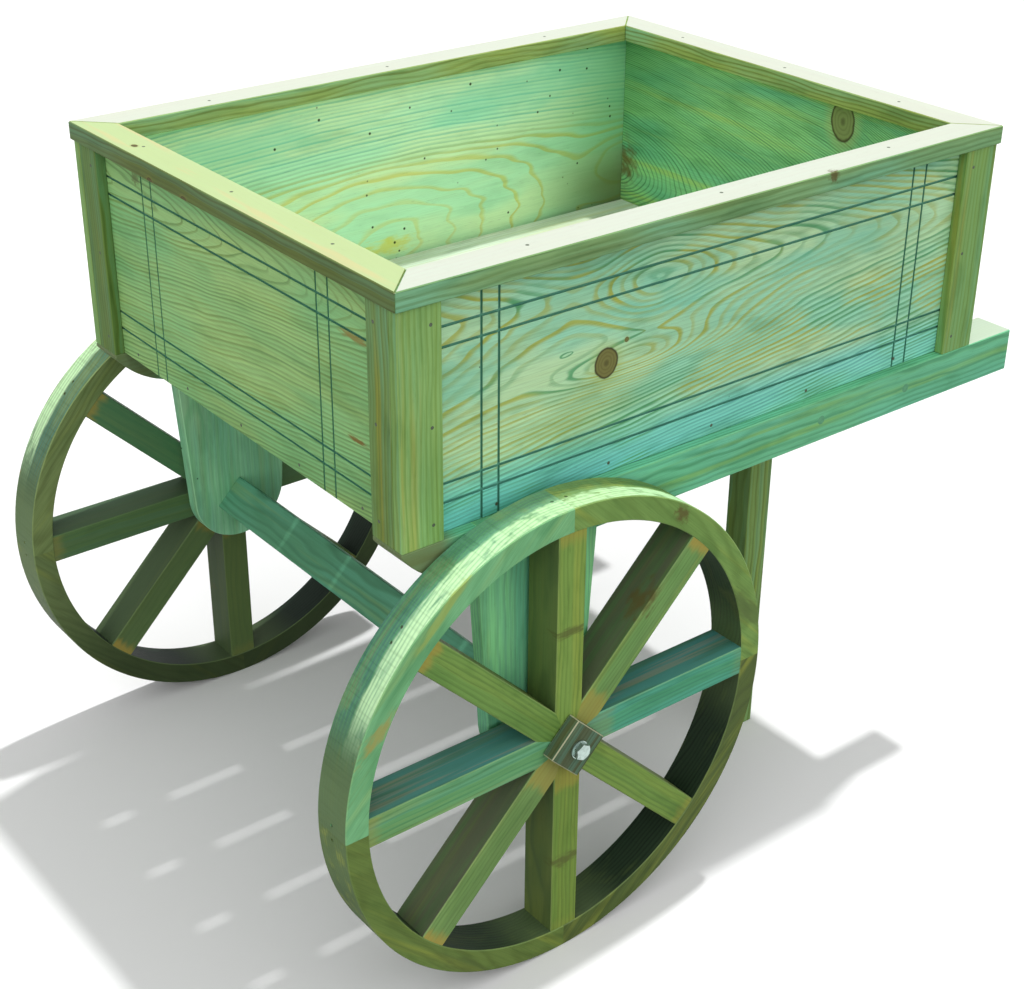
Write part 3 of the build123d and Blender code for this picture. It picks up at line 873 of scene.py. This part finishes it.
# stains: place along, inwards and up, reach, share and colour
FELLOE_MARKS = {
    1: (((53, 8, -250), (14, 12, 10), 0.85, KNOT_DARK),
        ((-130, 8, -218), (60, 30, 14), 0.6, colour(86, 100, 56))),
    2: (((86, 8, -236), (34, 8, 9), 0.6, ORANGE),
        ((-40, 8, -256), (60, 6, 6), 0.5, OCHRE)),
    3: (((60, 8, -250), (60, 10, 10), 0.5, colour(84, 100, 54)),),
}
SPOKE_KNOT = colour(92, 96, 50)
SPOKE_MARKS = {
    2: (((158, 20, 12), (30, 18, 12), 0.85, KNOT_DARK),),
    3: (((130, 8, 0), (6, 26, 26), 0.75, SPOKE_KNOT),),
    7: (((150, 8, 0), (9, 26, 26), 0.75, SPOKE_KNOT),),
}

HUB_TONES = (colour(86, 92, 62), colour(62, 66, 44))
HUB_EDGE = colour(196, 196, 160)
HUB_END = colour(170, 170, 150)
HUB_GRAIN = Euler((0, math.radians(45), 0))


def wheel_wood(kind, side, number, angle):
    """Wood for a piece of a wheel, measured from the wheel's middle, with x turned to this angle."""
    return Wood(f"{kind}_{side}_{number}", middle(f"hub_plate_{side}"), Euler((0, angle, 0)))


def shady(wood):
    """Is 0 on the far wheel's outer face and 1 elsewhere: where the far wheel's painted shade goes."""
    return wood.face_far.rise(*TURNED_AWAY)


def mark(wood, side, marks):
    """Adds the stains on a wheel's piece, mirrored for the far wheel."""
    inward = 1 if side == "near" else -1
    for (along, across, height), reach, share, tone in marks:
        wood.smear((along, across * inward, height), reach, share, tone)


def felloe(side, number):
    """A quarter of the wheel's rim, with painted shade inside and a strip of painted sunlight along part of
    its tread.
    """
    angle = math.radians(360 / FELLOES * (number - 0.5))
    wood = wheel_wood("felloe", side, number, angle + math.pi / 2)
    pale, late, tread_tone = FELLOE_TONES[number - 1]
    # painted shade: darker tones on every face of the far felloes
    if side == "far":
        pale, late = FAR_FELLOE
    pith = (wood.random.choice((-1, 1)) * wood.random.uniform(100, 130), -wood.random.uniform(190, 220))
    wood.lines(wood.round_pith(spacing=4.4, pith=pith, tilt=0.06), drift=0.9, ripple=0.4)
    radius = length_of(wood.x, wood.z)
    rim = wood.face_y.rise(*TURNED_AWAY)
    inner = radius.rise(RIM_INSIDE + SKIN_END, RIM_INSIDE + SKIN_FULL) * rim
    tread = radius.rise(RIM_OUTSIDE - SKIN_END, RIM_OUTSIDE - SKIN_FULL) * rim
    ground = wood.mix(tread, pale, tread_tone)
    wood.grain(ground, late, late_share=rim * 0.2 + 0.65, stain=pale, stain_share=0.2,
               streak_share=FELLOE_STREAKS[number - 1])
    # painted shade on the far felloes, away from the wheel's outer face
    if side == "far":
        painted_far_shade = shady(wood)
        wood.tint(painted_far_shade * FAR_FELLOE_SHARES[number - 1], FAR_OLIVE)
        wood.darken(inner * 0.2, FAR_INNER_SHADE)
        if number in FAR_LOW_DARK:
            wood.darken(painted_far_shade * wood.x.rise(*FAR_LOW_DARK[number]) * 0.9, FAR_LOW_DARK_SHADE)
    # painted shade: the inside of the rim tinted and darkened
    wood.tint(inner * 0.45, INNER_PAINTED_TINT)
    wood.darken(inner * 0.9, INNER_PAINTED_SHADE)
    wood.darken(inner * wood.late * 0.6, INNER_LINES)
    # painted sunlight: a pale strip along the tread
    if number in STRIP_ENDS:
        across = wood.y.math("ABSOLUTE") + wood.sway(STRIP_RAGGED, STRIP_SWAY)
        strip = across.rise(STRIP_EDGE + STRIP_SOFTNESS, STRIP_EDGE - STRIP_SOFTNESS)
        strip = strip * wood.x.rise(*STRIP_ENDS[number])
        broken_up = wood.patches(STRIP_BREAKUP, start=0.2, full=0.5, detail=3.0)
        between_lines = wood.late * -0.6 + 1.0
        wood.tint(tread * strip * broken_up * between_lines * 0.92, TREAD_PAINTED_SUNLIGHT)
    # painted shade at the end of the tread
    if number in TREAD_ENDS:
        wood.tint(tread * wood.x.rise(*TREAD_ENDS[number]) * 0.9, TREAD_END_PAINTED_SHADE)
    saw_marks = wood.patches(SAW_MARK, start=0.45, full=0.75)
    wood.darken(tread * saw_marks * 0.25, SAW_SHADE)
    wood.wear(FELLOE_EDGE, pale, edge_share=0.15, end_share=0.0)
    mark(wood, side, FELLOE_MARKS.get(number, ()))
    return wood.done_wood(FELLOE_BUMP)


def spoke(side, number):
    """A spoke with planed faces, rough sawn sides darkened as painted shade, and orange at its ends."""
    wood = wheel_wood("spoke", side, number, math.radians(360 / SPOKES * (number - 1)))
    pale, late, stain = SPOKE_TONES[number - 1]
    pith = (wood.random.uniform(20, 45), wood.random.choice((-1, 1)) * wood.random.uniform(50, 80))
    wood.lines(wood.round_pith(spacing=5.0, pith=pith, tilt=0.02), drift=0.8, ripple=0.3)
    sawn = wood.face_z.rise(*TURNED_TO)
    face = wood.face_y.rise(*TURNED_TO)
    wood.grain(pale, late, late_share=0.65, stain=stain, stain_share=sawn * SAWN_SHARES[side] + 0.06,
               streak_share=0.3)
    # painted shade on the far spokes, away from the wheel's outer face
    if side == "far":
        painted_far_shade = shady(wood)
        wood.tint(painted_far_shade * 0.7, FAR_SPOKES.get(number, FAR_OLIVE))
        wood.darken(painted_far_shade * 0.3, FAR_SPOKE_SHADE)
    # painted shade: the sawn sides tinted grey and darkened
    wood.tint(sawn * 0.4, SPOKE_SIDE_PAINTED_GREY)
    wood.darken(sawn * 0.5, SPOKE_SIDE_PAINTED_SHADE)
    if side == "near":
        for lengths, start, full, share, tone in SAWN_STREAKS[stain]:
            wood.tint(sawn * wood.patches(lengths, start, full) * share, tone)
    wood.wear(SPOKE_EDGE, END_GRAIN, edge_share=SPOKE_EDGE_SHARES[side])
    along = wood.x + wood.sway(SPOKE_RAGGED, SPOKE_SWAY, detail=3.0)
    wood.tint(along.rise(*SPOKE_TIP) * face * SPOKE_TIPS[number - 1], ORANGE)
    wood.tint(along.rise(*SPOKE_ROOT) * face * SPOKE_ROOTS[number - 1], ORANGE)
    mark(wood, side, SPOKE_MARKS.get(number, ()))
    return wood.done_wood()


def hub_plate(side):
    """Dark wood with pale, rubbed edges."""
    wood = Wood(f"hub_plate_{side}", middle(f"hub_plate_{side}"), HUB_GRAIN)
    wood.lines(wood.round_pith(spacing=4.0, pith=(20, 50)), drift=0.6, ripple=0.3)
    wood.grain(*HUB_TONES, late_share=0.4, stain_share=0.0, streak_share=0.1)
    wood.wear(HUB_EDGE, HUB_END, edge_share=0.8)
    return wood.done_wood()


def paint_wheels():
    for side in SIDES:
        for number in range(1, FELLOES + 1):
            paint(f"felloe_{side}_{number}", felloe(side, number))
        for number in range(1, SPOKES + 1):
            paint(f"spoke_{side}_{number}", spoke(side, number))
        paint(f"hub_plate_{side}", hub_plate(side))


# fasteners, each with its main colour and the colour of its dull blotches

ZINC = (colour(182, 200, 194), colour(112, 122, 116))
NAIL = (colour(84, 96, 76), colour(110, 118, 104))
COATED = (colour(92, 164, 120), colour(72, 132, 96))
RUST = colour(104, 72, 46)
BLOTCH = (4, 4, 4)
SCRATCH = (12, 0.4, 0.4)
SCRATCH_BUMP = 0.03
RUST_SPOT = (2.5, 2.5, 2.5)


def steel(name, tones, rust_share, roughness, metallic):
    """Blotched and finely scratched metal, with rust where it has a share."""
    metal = Finish(name)
    blotch = metal.noise(BLOTCH, detail=4.0)
    scratch = metal.noise(SCRATCH)
    dull = blotch.rise(0.35, 0.7)
    metal.shade = metal.mix(dull * 0.4, *tones)
    rust = metal.patches(RUST_SPOT, start=0.55, full=0.75, detail=3.0)
    metal.tint(rust * rust_share, RUST)
    metal.shader.inputs["Metallic"].default_value = metallic
    return metal.done(scratch, blotch * 0.25 + roughness, SCRATCH_BUMP)


def paint_steel():
    zinc = steel("zinc_steel", ZINC, rust_share=0.0, roughness=0.24, metallic=1.0)
    nail = steel("nail_steel", NAIL, rust_share=0.3, roughness=0.5, metallic=0.5)
    coated = steel("coated_steel", COATED, rust_share=0.0, roughness=0.5, metallic=0.0)
    for name in ("axle_screws", "axle_washers", "axle_spacers"):
        paint(name, zinc)
    for name in ("box_nails", "wheel_nails_near", "wheel_nails_far"):
        paint(name, nail)
    paint("frame_screws", coated)


# stage: camera, floor and light

IMAGE_WIDTH = 1024
FOCAL_PIXELS = 1804.7
SENSOR = 36.0
EYE = Vector((-1.1804, -1.4774, 1.3423))
HEADING = math.radians(51.722)
PITCH = math.radians(28.321)
ROLL = math.radians(0.503)

FLOOR_SIZE = 40.0
FLOOR_SEEN = (0.93, 0.93, 0.93, 1)
FLOOR_BOUNCE = (0.14, 0.14, 0.14, 1)
FLOOR_ROUGHNESS = 0.9
WHITE = (1, 1, 1, 1)
TO_SUN = Vector((0.31, 0.08, 1.0))
SUN_STRENGTH = 2.0
SUN_SOFTNESS = math.radians(2)
SKY_LEVEL = 0.26
SKY_SIDE = 1.18
TO_BRIGHT_SKY = Vector((-0.35, -0.75, 0.56))


def add_camera():
    level = math.cos(PITCH)
    forward = Vector((level * math.cos(HEADING), level * math.sin(HEADING), -math.sin(PITCH)))
    right = forward.cross(Vector((0, 0, 1))).normalized()
    up = right.cross(forward)
    turn = Matrix((right, up, -forward)).transposed() @ Matrix.Rotation(ROLL, 3, "Z")
    data = bpy.data.cameras.new("camera")
    data.sensor_fit = "HORIZONTAL"
    data.sensor_width = SENSOR
    data.lens = FOCAL_PIXELS * SENSOR / IMAGE_WIDTH
    camera = bpy.data.objects.new("camera", data)
    camera.matrix_world = Matrix.Translation(EYE) @ turn.to_4x4()
    bpy.context.scene.collection.objects.link(camera)
    bpy.context.scene.camera = camera


def seen_directly(tree):
    """Is 1 for camera, glossy and transmission rays, which show the pale background."""
    path = tree.nodes.new("ShaderNodeLightPath")
    camera, glossy, through = (Field(tree, path.outputs[f"Is {kind} Ray"])
                               for kind in ("Camera", "Glossy", "Transmission"))
    return camera.math("MAXIMUM", glossy).math("MAXIMUM", through)


def add_floor():
    mesh = bpy.data.meshes.new("stage_floor")
    half = FLOOR_SIZE / 2
    corners = [(-half, -half, 0), (half, -half, 0), (half, half, 0), (-half, half, 0)]
    mesh.from_pydata(corners, [], [(0, 1, 2, 3)])
    floor = bpy.data.objects.new("stage_floor", mesh)
    bpy.context.scene.collection.objects.link(floor)
    finish = Finish("stage_floor")
    finish.shade = finish.mix(seen_directly(finish.tree), FLOOR_BOUNCE, FLOOR_SEEN)
    feed(finish.tree, finish.shader.inputs["Base Color"], finish.shade)
    finish.shader.inputs["Roughness"].default_value = FLOOR_ROUGHNESS
    finish.shader.inputs["Specular IOR Level"].default_value = 0.0
    mesh.materials.append(finish.material)


def add_light():
    """A high sun, and a sky that is brighter on one side and plain white where it is seen directly."""
    lamp = bpy.data.lights.new("sun", "SUN")
    lamp.energy = SUN_STRENGTH
    lamp.angle = SUN_SOFTNESS
    sun = bpy.data.objects.new("sun", lamp)
    sun.rotation_euler = TO_SUN.to_track_quat("Z", "Y").to_euler()
    bpy.context.scene.collection.objects.link(sun)

    world = bpy.data.worlds.new("studio")
    bpy.context.scene.world = world
    world.use_nodes = True
    tree = world.node_tree
    place = tree.nodes.new("ShaderNodeTexCoord")
    dot = tree.nodes.new("ShaderNodeVectorMath")
    dot.operation = "DOT_PRODUCT"
    tree.links.new(place.outputs["Generated"], dot.inputs[0])
    dot.inputs[1].default_value = TO_BRIGHT_SKY.normalized()
    bright = Field(tree, dot.outputs["Value"]).math("MAXIMUM", 0.0) * SKY_SIDE + SKY_LEVEL
    direct = seen_directly(tree)
    strength = bright * direct.math("MULTIPLY_ADD", -1.0, 1.0) + direct
    back = tree.nodes["Background"]
    back.inputs["Color"].default_value = WHITE
    feed(tree, back.inputs["Strength"], strength)


paint_box()
paint_chassis()
paint_wheels()
paint_steel()
add_camera()
add_floor()
add_light()
bpy.context.scene.view_settings.view_transform = "Standard"
